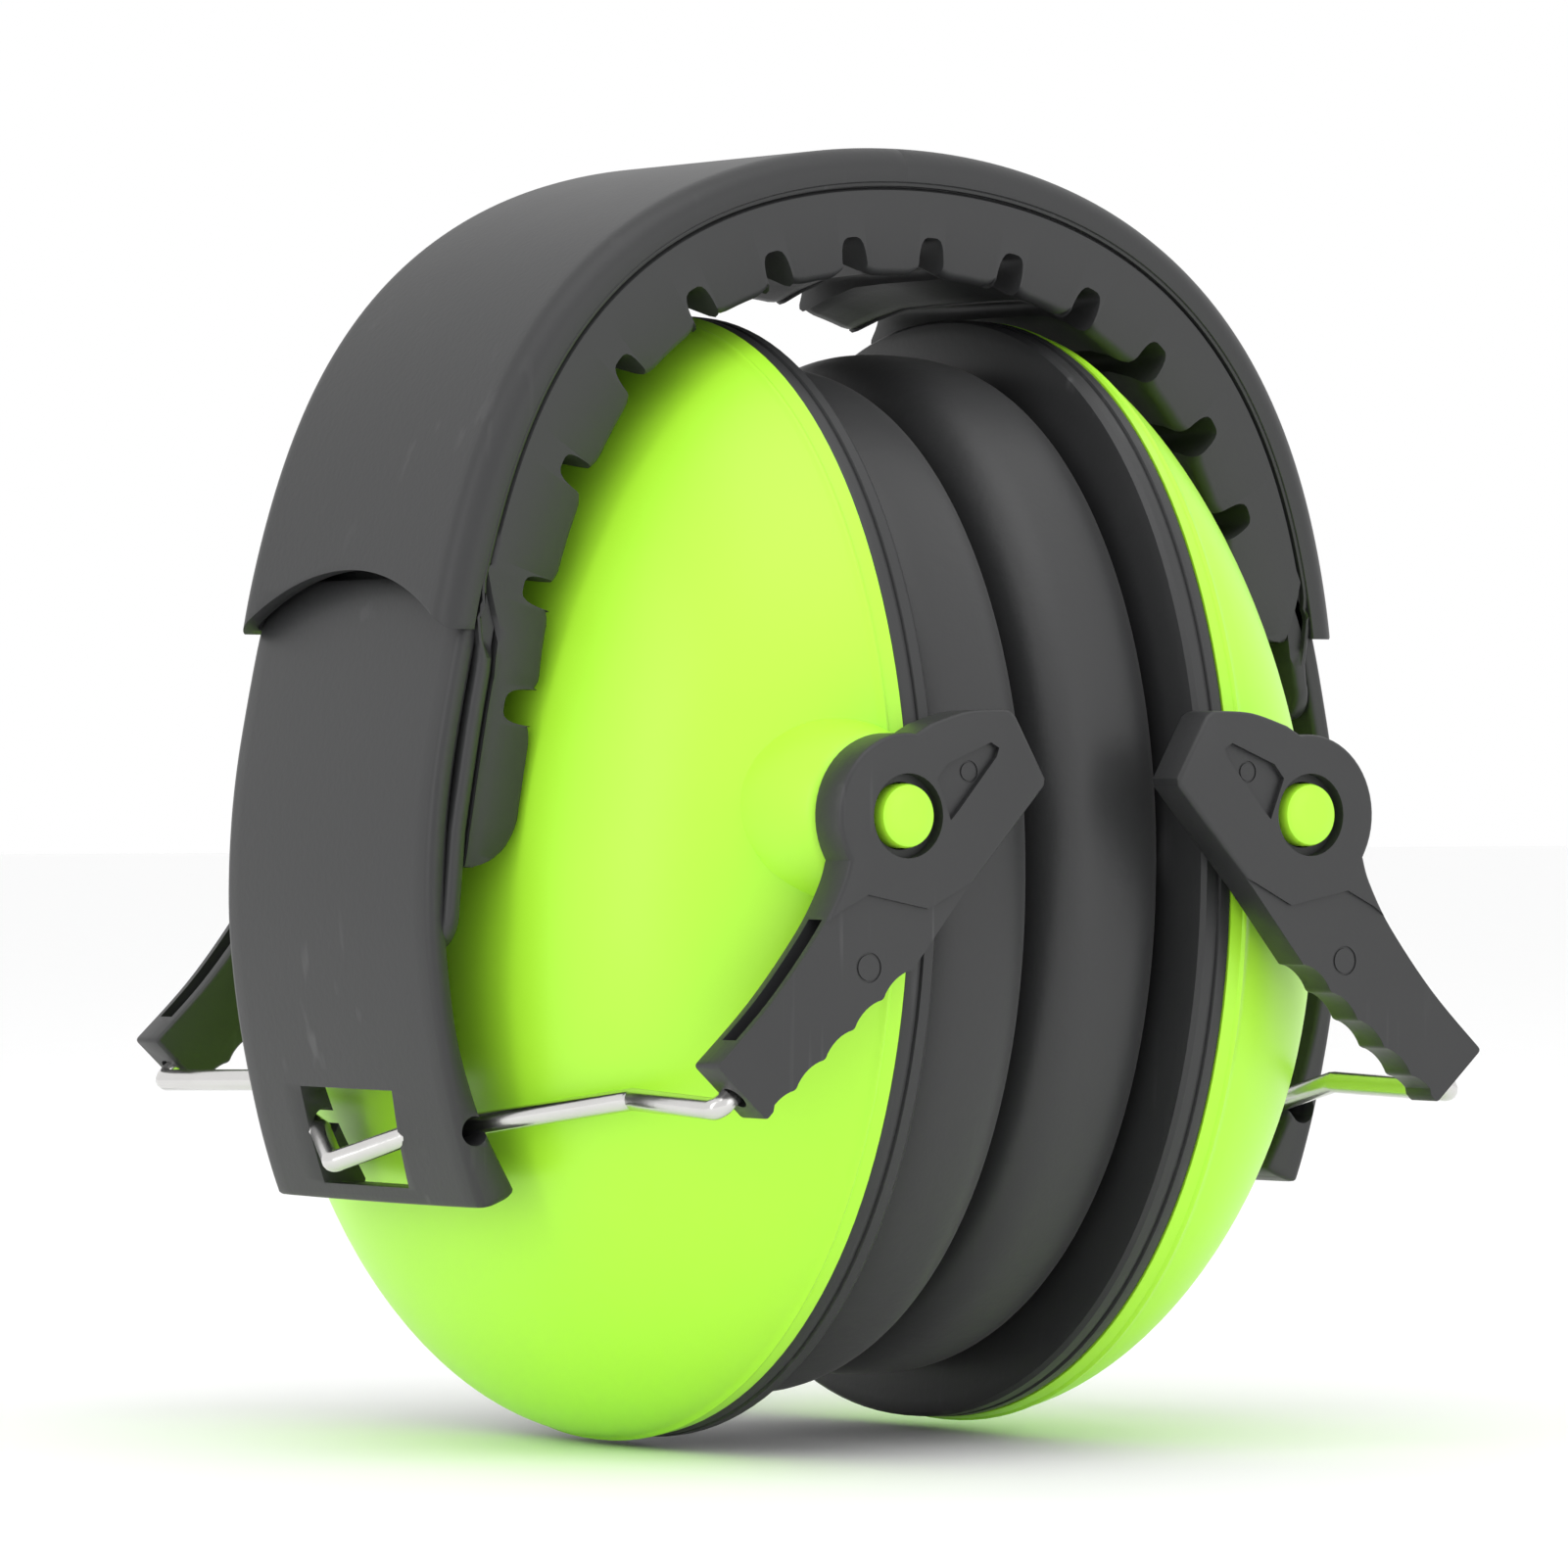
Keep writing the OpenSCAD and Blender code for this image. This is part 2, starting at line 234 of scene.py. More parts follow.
def build_grain_group():
    group = bpy.data.node_groups.new("Moulded grain", "ShaderNodeTree")
    group_socket(group, "Grain size", "INPUT", value=900.0)
    group_socket(group, "Mottle size", "INPUT", value=60.0)
    group_socket(group, "Grain", "OUTPUT")
    group_socket(group, "Mottle", "OUTPUT")
    inside, outside = group.nodes.new("NodeGroupInput"), group.nodes.new("NodeGroupOutput")
    place = group.nodes.new("ShaderNodeTexCoord")
    for size, detail, out in (("Grain size", 3.0, "Grain"), ("Mottle size", 4.0, "Mottle")):
        noise = group.nodes.new("ShaderNodeTexNoise")
        noise.inputs["Detail"].default_value = detail
        noise.inputs["Roughness"].default_value = 0.6
        link(group, place.outputs["Object"], noise.inputs["Vector"])
        link(group, inside.outputs[size], noise.inputs["Scale"])
        link(group, noise.outputs["Fac"], outside.inputs[out])
    return group


def build_rub_group():
    group = bpy.data.node_groups.new("Rub marks", "ShaderNodeTree")
    group_socket(group, "Stretch", "INPUT", "NodeSocketVector", (500.0, 500.0, 25.0))
    group_socket(group, "Amount", "INPUT", value=0.5)
    group_socket(group, "Marks", "OUTPUT")
    inside, outside = group.nodes.new("NodeGroupInput"), group.nodes.new("NodeGroupOutput")
    place = group.nodes.new("ShaderNodeTexCoord")
    scaled = group.nodes.new("ShaderNodeVectorMath")
    scaled.operation = "MULTIPLY"
    link(group, place.outputs["Object"], scaled.inputs[0])
    link(group, inside.outputs["Stretch"], scaled.inputs[1])
    lines = group.nodes.new("ShaderNodeTexNoise")
    lines.inputs["Scale"].default_value = 1.0
    lines.inputs["Detail"].default_value = 2.0
    link(group, scaled.outputs[0], lines.inputs["Vector"])
    patches = group.nodes.new("ShaderNodeTexNoise")
    patches.inputs["Scale"].default_value = 70.0
    link(group, place.outputs["Object"], patches.inputs["Vector"])
    thin = group.nodes.new("ShaderNodeMapRange")
    thin.inputs["From Min"].default_value = 0.63
    thin.inputs["From Max"].default_value = 0.72
    link(group, lines.outputs["Fac"], thin.inputs["Value"])
    some = group.nodes.new("ShaderNodeMapRange")
    some.inputs["From Min"].default_value = 0.5
    some.inputs["From Max"].default_value = 0.66
    link(group, patches.outputs["Fac"], some.inputs["Value"])
    both = math_node(group, "MULTIPLY", thin.outputs["Result"], some.outputs["Result"])
    link(group, math_node(group, "MULTIPLY", both, inside.outputs["Amount"]), outside.inputs["Marks"])
    return group


GRAIN, RUB = build_grain_group(), build_rub_group()
print("node groups", [g.name for g in bpy.data.node_groups])


# %% [markdown]
# ## Materials
# Each finish starts from the same recipe: a base colour that drifts slightly with the mottle,
# a roughness that follows it, and a fine bump from the grain. What differs is the values, plus
# rub marks where the real surface is handled. Coat and sheen are plain values on the shader.
# %% A builder for plastics and leatherette
def place_group(tree, group, **values):
    node = tree.nodes.new("ShaderNodeGroup")
    node.node_tree = group
    for name, value in values.items():
        node.inputs[name.replace("_", " ")].default_value = value
    return node


def colour_mix(tree, factor, first, second):
    node = tree.nodes.new("ShaderNodeMix")
    node.data_type = "RGBA"
    link(tree, factor, node.inputs["Factor"])
    for socket, value in ((node.inputs["A"], first), (node.inputs["B"], second)):
        if hasattr(value, "is_output"):
            link(tree, value, socket)
        else:
            socket.default_value = (*value, 1.0)
    return node.outputs["Result"]


def surface(name, dark, light, rough, bump, grain=900.0, mottle=60.0, rub=0.0, stretch=None,
            rub_colour=(0.35, 0.35, 0.35), **shader_values):
    material = bpy.data.materials.new(name)
    material.use_nodes = True
    tree = material.node_tree
    shader = tree.nodes["Principled BSDF"]
    for key, value in shader_values.items():
        shader.inputs[key.replace("_", " ")].default_value = value
    noise = place_group(tree, GRAIN, Grain_size=grain, Mottle_size=mottle)
    colour = colour_mix(tree, noise.outputs["Mottle"], dark, light)
    spread = tree.nodes.new("ShaderNodeMapRange")
    spread.inputs["To Min"].default_value = rough[0]
    spread.inputs["To Max"].default_value = rough[1]
    link(tree, noise.outputs["Mottle"], spread.inputs["Value"])
    if rub:
        marks = place_group(tree, RUB, Amount=rub)
        if stretch:
            marks.inputs["Stretch"].default_value = stretch
        colour = colour_mix(tree, marks.outputs["Marks"], colour, rub_colour)
    link(tree, colour, shader.inputs["Base Color"])
    link(tree, spread.outputs["Result"], shader.inputs["Roughness"])
    relief = tree.nodes.new("ShaderNodeBump")
    relief.inputs["Strength"].default_value = bump
    relief.inputs["Distance"].default_value = 0.0001
    link(tree, noise.outputs["Grain"], relief.inputs["Height"])
    link(tree, relief.outputs["Normal"], shader.inputs["Normal"])
    return material


# %% [markdown]
# Most of the object is black, so its finishes differ by roughness and grain more than by colour:
# the band is matt, the mouldings are satin with rub marks, the leatherette has a coarser grain.
# %% The finishes of this object
LIME = surface("lime shell", (0.42, 0.90, 0.03), (0.48, 0.96, 0.045), (0.34, 0.42), 0.08,
               grain=1400.0, mottle=25.0, Coat_Weight=0.12, Coat_Roughness=0.35)
BAND_BLACK = surface("matt black band", (0.020, 0.0205, 0.0215), (0.027, 0.0275, 0.0285),
                     (0.42, 0.52), 0.25, grain=1600.0, mottle=40.0, rub=0.04)
MOULDED = surface("satin black moulding", (0.021, 0.0215, 0.0225), (0.029, 0.0295, 0.0305),
                  (0.38, 0.50), 0.2, grain=1500.0, mottle=90.0, rub=0.22,
                  stretch=(900.0, 350.0, 30.0), rub_colour=(0.16, 0.16, 0.165))
PAD_BLACK = surface("soft black pad", (0.024, 0.0245, 0.0255), (0.031, 0.0315, 0.0325),
                    (0.46, 0.56), 0.25, grain=1300.0, mottle=70.0)
LEATHERETTE = surface("black leatherette", (0.023, 0.0235, 0.0245), (0.03, 0.0305, 0.0315),
                      (0.42, 0.52), 0.45, grain=520.0, mottle=45.0, Sheen_Weight=0.08)
STEEL = surface("spring steel", (0.62, 0.61, 0.60), (0.72, 0.71, 0.70), (0.16, 0.26), 0.15,
                grain=700.0, mottle=200.0, rub=0.3, stretch=(300.0, 40.0, 300.0),
                rub_colour=(0.35, 0.34, 0.33), Metallic=1.0)
FOAM = surface("grey foam", (0.03, 0.03, 0.032), (0.09, 0.09, 0.095), (0.9, 1.0), 1.0,
               grain=700.0, mottle=500.0)
print("finishes", [m.name for m in bpy.data.materials])


# %% [markdown]
# ## The cups
# A cup is a smooth oval bowl. Its rim is a rounded superellipse and each ring above it shrinks
# as the bowl rises, so the whole bowl comes from one formula that is lofted ring by ring. A fine
# raised border follows the rim, as the mould's shut-off does on the real shell.
# %% The bowl's formula
OUTLINE_POWER, EGG = 2 / 2.1, 0.05
RISE_POWER, FLANK_POWER = 1.2, 0.7


def power(value, exponent):
    return math.copysign(abs(value) ** exponent, value)


def rim_point(turn, share=1.0, inset=0.0):
    """A point (y, z) of the cup's outline, for a turn in degrees."""
    c, s = math.cos(math.radians(turn)), math.sin(math.radians(turn))
    y = ((CUP_W - 0.15) * share - inset) * power(c, OUTLINE_POWER) * (1 - EGG * power(s, OUTLINE_POWER))
    return y, (CUP_H * share - inset) * power(s, OUTLINE_POWER)


def bowl_ring(rise, depth, inset, swell=0.0, steps=144):
    """One ring of the bowl. rise is 0 at the rim and 90 at the top."""
    height, share = math.sin(math.radians(rise)), math.cos(math.radians(rise))
    row = []
    for i in range(steps):
        y, z = rim_point(360 * i / steps, 1.0, inset - swell)
        row.append((RIM_X + (depth + swell) * height ** RISE_POWER, y * share ** FLANK_POWER,
                    CUP_Z + z * share - CUP_DROP * height))
    return row


BORDER = ((0, 0), (2.2, 0), (4.4, 0), (5.0, 0), (5.5, 0.16), (6.0, 0.22), (6.6, 0.16), (7.2, 0.0),
          (8.4, -0.02))


def bowl(name, sign, depth, inset, with_border):
    rises = list(BORDER) if with_border else [(0, 0), (5, 0)]
    rises += [(a, 0.0) for a in np.linspace(11, 88.5, 34)]
    rows = [mirrored(bowl_ring(a, depth, inset, swell), sign) for a, swell in rises]
    return loft(name, rows)


def lathe(name, profile, centre, turns=48):
    """A turned piece round an axis along Y. profile holds (radius, y) pairs, first and last capped."""
    rows = []
    for radius, y in profile:
        rows.append([(centre[0] + radius * math.cos(2 * math.pi * k / turns), y,
                      centre[2] + radius * math.sin(2 * math.pi * k / turns)) for k in range(turns)])
    return loft(name, rows)


def block(name, low, high):
    rows = [[(x, low[1], low[2]), (x, high[1], low[2]), (x, high[1], high[2]), (x, low[1], high[2])]
            for x in (low[0], high[0])]
    return loft(name, rows)


def turn_with_cup(piece, sign):
    """The folded pair of cups sits slightly askew: each piece is turned about its cup's pins."""
    centre = Vector((sign * PIN.x * MM, 0, PIN.z * MM))
    turn = Matrix.Translation(centre) @ Matrix.Rotation(CUP_TURN, 4, "Y") @ Matrix.Translation(-centre)
    piece.data.transform(turn)


# %% [markdown]
# The arms turn on green pins that are moulded with the shell. Each pin stands on a raised boss
# with a soft foot, turned on the lathe and joined on, and the hollow is cut out of both at once.
# %% Build the two shells
BOSS_PROFILE = ((9.8, -14), (9.0, -6.0), (8.3, -3.4), (7.8, -1.9), (7.4, -0.9), (7.1, -0.3), (6.7, 0.0),
                (3.0, 0.0), (2.85, 0.1), (2.85, 4.1), (2.72, 4.5), (2.45, 4.7), (1.2, 4.78))
bowls = {}
for side, sign in SIDES:
    shell = bowl(side + "_shell_visual", sign, CUP_DEPTH, 0.0, True)
    for end in (-1, 1):
        profile = [(r, end * (BOSS_FACE + y)) for r, y in BOSS_PROFILE]
        combine(shell, lathe("boss", profile, (sign * PIN.x, 0, PIN.z)), "UNION")
    cut(shell, bowl("hollow", sign, CUP_DEPTH - SHELL_WALL, SHELL_WALL, False))
    edge = sorted((sign * (RIM_X - 12), sign * RIM_X))
    cut(shell, block("beyond", (edge[0], -60, 0), (edge[1], 60, 110)))
    smooth(shell, 35)
    turn_with_cup(shell, sign)
    finish_piece(shell, side + "_cup", LIME, "shell", side + "_shell")
    bowls[side] = shell
    print(side, "shell faces", len(shell.data.polygons))

# %% [markdown]
# The black base ring closes the cup and carries the cushion. Its edge is a small moulded profile
# with a fine groove, so it is lofted across its thickness: each row is the same outline, a little
# in or out. The acoustic foam inside is a crowned oval block.
# %% Base rings and foam liners
def outline_row(x, share, inset=0.0, steps=144):
    row = []
    for i in range(steps):
        y, z = rim_point(360 * i / steps, share, inset)
        row.append((x, y, CUP_Z + z))
    return row


RING_PROFILE = ((0.0, 0.62, -0.6), (0.0, 0.62, -1.4), (0.0, 1.0, 1.5), (0.25, 1.0, 0.35), (0.7, 1.0, 0.02),
                (1.7, 1.0, 0.0), (1.85, 1.0, 0.28), (2.15, 1.0, 0.28), (2.3, 1.0, 0.0), (3.1, 1.0, 0.0),
                (3.45, 1.0, 0.14), (3.58, 1.0, 0.5), (3.58, 0.62, -1.4), (3.1, 0.62, -0.6))
LINER_MID, LINER_HALF = Vector((RIM_X + 14.8, 0, CUP_Z - 2.4)), Vector((2.5, 23.8, 28.1))
for side, sign in SIDES:
    rows = [mirrored(outline_row(RING_X + x, share, inset), sign) for x, share, inset in RING_PROFILE]
    ring = loft(side + "_ring_visual", rows, close_rows=True)
    smooth(ring, 30)
    turn_with_cup(ring, sign)
    finish_piece(ring, side + "_cup", MOULDED, "ring", side + "_base_ring")
    mid, half = LINER_MID, LINER_HALF
    rows = []
    for k in range(13):
        a = math.radians(-90 + 15 * k)
        share = 0.55 + 0.42 * power(math.cos(a), 0.5)
        rows.append(mirrored([(mid.x + half.x * math.sin(a) * 0.97, half.y * 0.98 * share * math.cos(t),
                               mid.z + half.z * 0.98 * share * math.sin(t))
                              for t in np.linspace(0, 2 * math.pi, 72, endpoint=False)], sign))
    liner = loft(side + "_liner_visual", rows)
    smooth(liner, 50)
    turn_with_cup(liner, sign)
    finish_piece(liner, side + "_cup", FOAM, "foam", side + "_liner")
print("rings and liners made")

# %% [markdown]
# The ear cushion is a leatherette ring stuffed with foam. A lofted ring alone looks hard, so its
# skin is blown up a little by a cloth simulation: the back edge is held by the base ring, the
# inside pressure swells the rest, and the face stays flat where the two cushions meet.
# %% The cushion's section
CUSHION_RING = 168


def cushion_point(i, across):
    outer = rim_point(360 * i / CUSHION_RING, 0.925)
    inner = rim_point(360 * i / CUSHION_RING, 0.575)
    t = 0.5 + 0.5 * across
    return inner[0] + (outer[0] - inner[0]) * t, CUP_Z + inner[1] + (outer[1] - inner[1]) * t


def cushion_rows(sign):
    """The cushion's section goes round a rounded rectangle between the ear hole and the outside."""
    half = (CUSHION_BACK - CUSHION_FACE) / 2
    mid = (CUSHION_BACK + CUSHION_FACE) / 2
    rows = []
    for k in range(36):
        a = 2 * math.pi * k / 36
        across, along = power(math.cos(a), 0.62), power(math.sin(a), 0.62)
        x = mid + along * half * 0.985
        rows.append(mirrored([(x, *cushion_point(i, across)) for i in range(CUSHION_RING)], sign))
    return rows


# %% [markdown]
# The pressure is light and few steps are taken. How far any point may move is then capped, so the
# skin can't balloon, and every point is kept between the ring and the face of the other cushion.
# %% Ear cushions, swelled by cloth pressure
PRESSURE, SWELL_STEPS, SWELL_LIMIT = 2.2, 12, 0.0011


def swell(piece, sign):
    held = piece.vertex_groups.new(name="held")
    back = [v.index for v in piece.data.vertices if sign * v.co.x > (CUSHION_BACK - 1.6) * MM]
    held.add(back, 1.0, "REPLACE")
    start = np.array([v.co[:] for v in piece.data.vertices])
    cloth = piece.modifiers.new("swell", "CLOTH")
    cloth.settings.effector_weights.gravity = 0.0
    cloth.settings.use_pressure = True
    cloth.settings.uniform_pressure_force = PRESSURE
    cloth.settings.vertex_group_mass = "held"
    cloth.settings.tension_stiffness = 40
    cloth.settings.compression_stiffness = 40
    cloth.settings.bending_stiffness = 0.6
    cloth.point_cache.frame_end = SWELL_STEPS
    for step in range(1, SWELL_STEPS + 1):
        bpy.context.scene.frame_set(step)
    apply_all(piece)
    bpy.context.scene.frame_set(1)
    moved = np.array([v.co[:] for v in piece.data.vertices]) - start
    length = np.linalg.norm(moved, axis=1, keepdims=True)
    moved *= np.minimum(1.0, SWELL_LIMIT / np.maximum(length, 1e-9))
    for vert, old, step in zip(piece.data.vertices, start, moved):
        new = old + step
        depth = min(max(sign * new[0], CUSHION_FACE * MM), CUSHION_BACK * MM)
        vert.co = (sign * depth, new[1], new[2])
    return float(length.max())


for side, sign in SIDES:
    cushion = loft(side + "_cushion_visual", cushion_rows(sign), close_rows=True)
    print(side, "cushion swelled by up to", round(swell(cushion, sign) * 1000, 2), "mm")
    soften(cushion, 0, levels=1)
    smooth(cushion, 70)
    turn_with_cup(cushion, sign)
    finish_piece(cushion, side + "_cup", LEATHERETTE, "cushion", side + "_cushion", side + "_cushion_foam")


# %% [markdown]
# ## The headband's path
# Cover, strip and pad all follow one path: an arch that runs over into two straight legs. A
# point is given by its angle from the top (right is positive), its radius, and its place across
# the band. Past 85 degrees the same angle step simply carries on down the leg.
# %% Place a point on the band
ARCH_END = 85.0
STEP_MM = 50.0 * math.pi / 180
SHOULDER_POINTS = {-1: ((0, 1, 15, 31, 47, 61, 79, 85), (0, 0, 0.5, 1.2, 0.3, -0.7, -1.8, -1.7)),
                   1: ((0, 1, 15, 34, 48, 60, 75, 85), (0, 0, 0.6, 1.3, 1.0, 0.1, -1.3, -1.7))}
SHOULDERS = {sign: np.polyfit(np.radians(at) ** 2, rise, 4) for sign, (at, rise) in SHOULDER_POINTS.items()}


def shoulder(sign, size, radius):
    """The band is a little fuller than a true arc at its shoulders, and drawn in above the legs."""
    value = float(np.polyval(SHOULDERS[sign], math.radians(min(size, ARCH_END)) ** 2))
    if value < 0 and radius < BAND_R - 4:
        value *= 0.62
    return value


def place(angle, radius, y):
    sign, size = (1 if angle >= 0 else -1), abs(angle)
    extra = shoulder(sign, size, radius)
    if size <= ARCH_END:
        a = math.radians(size)
        return sign * (radius + extra) * math.sin(a), y, ARCH_Z + (radius + extra) * math.cos(a)
    along = (size - ARCH_END) * STEP_MM
    x = radius * math.cos(LEAN) + along * math.sin(LEAN)
    x += extra + (0.3 - extra) * min(1.0, along / 14.0) ** 0.8
    return sign * x, y, ARCH_Z + radius * math.sin(LEAN) - along * math.cos(LEAN)


def angle_at(z, radius):
    """The angle at which that radius reaches a height, on the arch or on the leg."""
    if z > ARCH_Z + radius * math.sin(LEAN):
        return math.degrees(math.acos((z - ARCH_Z) / radius))
    return ARCH_END + (ARCH_Z + radius * math.sin(LEAN) - z) / math.cos(LEAN) / STEP_MM


def section_loft(name, sign, angles, section):
    """Lofts section(angle) -> [(radius, y), ...] along the band, from the crown to one end."""
    rows = [[place(sign * a, r, y) for r, y in section(a)] for a in angles]
    return loft(name, rows)


def bend_band(piece, side, sign, material, slot, *nodes):
    """Gives a band piece its material, hides the CAD nodes it stands for and bakes its place into the mesh.
    """
    piece.data.materials.clear()
    piece.data.materials.append(material)
    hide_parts(*nodes)
    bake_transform(piece)


# %% [markdown]
# The cover is a shallow channel: a smooth outer skin whose front and back edges roll inwards. Its
# lower end is cut in an arch over the slider. The loft ends lower than needed, and the arched
# cut is taken out with one curved cutter.
# %% Outer cover
COVER_IN, EDGE_IN, EDGE_ROUND = BAND_R - 1.6, BAND_R - 3.2, 2.4


def cover_section(angle):
    turns = [math.radians(10 * k) for k in range(10)]
    front = [(BAND_R - EDGE_ROUND + EDGE_ROUND * math.sin(a),
              -BAND_HALF + EDGE_ROUND - EDGE_ROUND * math.cos(a)) for a in turns]
    back = [(r, -y) for r, y in reversed(front)]
    hollow = [(EDGE_IN, BAND_HALF), (EDGE_IN - 0.15, BAND_HALF - 0.3), (EDGE_IN - 0.15, BAND_HALF - 0.9),
              (EDGE_IN, BAND_HALF - 1.15), (COVER_IN - 0.4, BAND_HALF - 1.2), (COVER_IN, BAND_HALF - 1.6)]
    crown = [(BAND_R, y) for y in np.linspace(-BAND_HALF + 3.2, BAND_HALF - 3.2, 9)]
    return front + crown + back + hollow + [(r, -y) for r, y in reversed(hollow)]


CUT_TOP, CUT_RISE = ARCH_Z + 13.9, 6.0
CUT_R = (BAND_HALF ** 2 + CUT_RISE ** 2) / (2 * CUT_RISE)
for side, sign in SIDES:
    angles = list(np.linspace(0, 91.5, 78))
    cover = section_loft(side + "_cover_visual", sign, angles, cover_section)
    cutter = [(y, CUT_TOP - CUT_R + math.sqrt(CUT_R ** 2 - y ** 2)) for y in np.linspace(-19.5, 19.5, 41)]
    cutter = [(y, max(z, ARCH_Z + 8.3)) for y, z in cutter] + [(19.5, 40), (-19.5, 40)]
    near, far = sorted((sign * 30, sign * 60))
    cut(cover, loft("arched cut", [[(near, y, z) for y, z in cutter], [(far, y, z) for y, z in cutter]]))
    soften(cover, 0.22, segments=2, angle=50)
    smooth(cover, 38)
    middle = ("crown_cover",) if sign < 0 else ()
    bend_band(cover, side, sign, BAND_BLACK, "cover", side + "_cover", *middle)
print("cover made, cut radius", round(CUT_R, 1))

# %% [markdown]
# Under the cover lies the spring strip. Over the arch its edges turn up into a rim that shows as
# a thin line beside the cover; on the legs it is a flat tongue with rounded corners. It
# has crept round to the left, so it ends lower there than on the right.
# %% Inner strip
STRIP_IN = BAND_R - 6.4
STRIP_OUT = STRIP_IN + 1.6
strip_ends = {side: box_mm(side + "_strip")[0].z for side, sign in SIDES}


def strip_section_for(end_angle):
    def section(angle):
        rest = (end_angle - angle) * STEP_MM
        tuck = 3.2
        half = BAND_HALF - 0.05
        if rest < tuck:
            half -= tuck - math.sqrt(max(0.0, tuck ** 2 - (tuck - rest) ** 2))
        lip = 1.65 * min(1.0, max(0.0, (82 - angle) / 7))
        rim, web = STRIP_OUT + lip, half - 0.9
        side_profile = [(STRIP_IN, web), (STRIP_IN + 0.1, web + 0.25), (rim - 0.5, web + 0.25),
                        (rim - 0.45, half - 0.1), (rim - 0.25, half), (rim - 0.05, half - 0.1),
                        (rim, half - 0.5), (rim - 0.1, half - 1.15), (STRIP_OUT, half - 1.2)]
        if lip == 0.0:
            side_profile = [(STRIP_IN, half - 0.6), (STRIP_IN + 0.15, half - 0.25),
                            (STRIP_IN + 0.4, half - 0.05), (STRIP_IN + 0.8, half), (STRIP_IN + 1.1, half),
                            (STRIP_IN + 1.35, half - 0.1), (STRIP_OUT - 0.1, half - 0.25),
                            (STRIP_OUT, half - 0.5), (STRIP_OUT, half - 1.2)]
        return side_profile + [(r, -y) for r, y in reversed(side_profile)]
    return section


for side, sign in SIDES:
    end = angle_at(strip_ends[side], (STRIP_IN + STRIP_OUT) / 2)
    angles = list(np.linspace(0, end - 4.0, 80))
    angles += [end - d for d in (3.4, 2.8, 2.2, 1.6, 1.0, 0.5, 0.2, 0.03)]
    strip = section_loft(side + "_strip_visual", sign, angles, strip_section_for(end))
    smooth(strip, 45)
    middle = ("crown_strip",) if sign < 0 else ()
    bend_band(strip, side, sign, MOULDED, "strip", side + "_strip", *middle)
    print(side, "strip ends at", round(end, 1), "degrees")

# %% [markdown]
# The pad is soft moulded rubber with a skirt at the front and back and thirteen cross slots that
# let it bend. The slots are part of the loft: rows of points crowd together at each slot and step
# outwards there. Where a cup bulges up under the band, the pad is thinned to stay clear of it.
# %% Slotted head pad
PAD_OUT = STRIP_IN - 0.2
PAD_EDGE_IN, PAD_MID_IN, SLOT_R = BAND_R - 12.4, BAND_R - 9.6, BAND_R - 8.2
SLOT_HALF = 1.35
pad_ends = {side: box_mm(side + "_pad")[0].z for side, sign in SIDES}
SLOTS = [-87.7, -73.9, -58.4, -44.2, -31.2, -19.2, -7.8, 3.8, 15.8, 27.9, 39.6, 51.4, 63.1]
trees = {side: BVHTree.FromObject(bowls[side], bpy.context.evaluated_depsgraph_get()) for side, sign in SIDES}


def clear_radius(angle, y):
    """The radius at which a line out from the arch's centre last leaves a cup, in millimetres."""
    far, near = Vector(place(angle, 52.0, y)) * MM, Vector(place(angle, 20.0, y)) * MM
    hit = trees["right" if angle > 0 else "left"].ray_cast(far, (near - far).normalized(), 0.032)
    return 52.0 - hit[3] / MM if hit[0] else 0.0


def pad_rise(angle, slots):
    """How far the inner face steps out at a slot, and the slight swell of the block between."""
    nearest = min(abs(angle - s) for s in slots) * PAD_EDGE_IN * math.pi / 180
    if nearest < SLOT_HALF:
        return math.sqrt(1 - (nearest / SLOT_HALF) ** 4)
    mouth = max(0.0, 1 - (nearest - SLOT_HALF) / 1.3)
    return 0.12 * mouth ** 2


def pad_section_for(sign, end_angle):
    slots = [sign * s for s in SLOTS]

    def section(angle):
        open_share = pad_rise(angle, slots)
        rest = max(0.0, (end_angle - angle) * STEP_MM)
        tip = math.sqrt(max(0.0, 1 - ((5.0 - rest) / 5.0) ** 2)) if rest < 5.0 else 1.0
        half = BAND_HALF - 0.12 - 0.6 * (1 - tip)
        skirt_top = PAD_OUT + 2.9 * min(1.0, max(0.0, (80 - angle) / 7))
        points = []
        for y in (half, half - 0.25, half - 0.9, half - 1.8, half - 4.5, half - 8.5, half - 13.0):
            edge = max(0.0, (y - 8.0) / (half - 8.0))
            inner = PAD_MID_IN + (PAD_EDGE_IN - PAD_MID_IN) * edge ** 1.5
            inner += {half: 1.3, half - 0.25: 0.75, half - 0.9: 0.2}.get(y, 0.0)
            inner = max(inner, clear_radius(sign * angle, y) + 0.35)
            deep = max(SLOT_R, inner)
            radius = inner + (deep - inner) * open_share
            radius = PAD_OUT - (PAD_OUT - min(radius, PAD_OUT - 0.3)) * max(tip, 0.02)
            points.append((radius, y))
        web = half - 0.85 if skirt_top > PAD_OUT + 0.05 else half - 0.3
        top = [(PAD_OUT, 0.0), (PAD_OUT, web - 2), (PAD_OUT, web), (skirt_top - 0.15, web + 0.02),
               (skirt_top, web + 0.3), (skirt_top - 0.3, half - 0.05),
               (max(skirt_top - 1.2, PAD_OUT - 0.9), half)]
        front = [(r, -y) for r, y in top] + [(r, -y) for r, y in points]
        back = [(r, y) for r, y in reversed(points)] + [(r, y) for r, y in reversed(top[1:])]
        return front + back
    return section


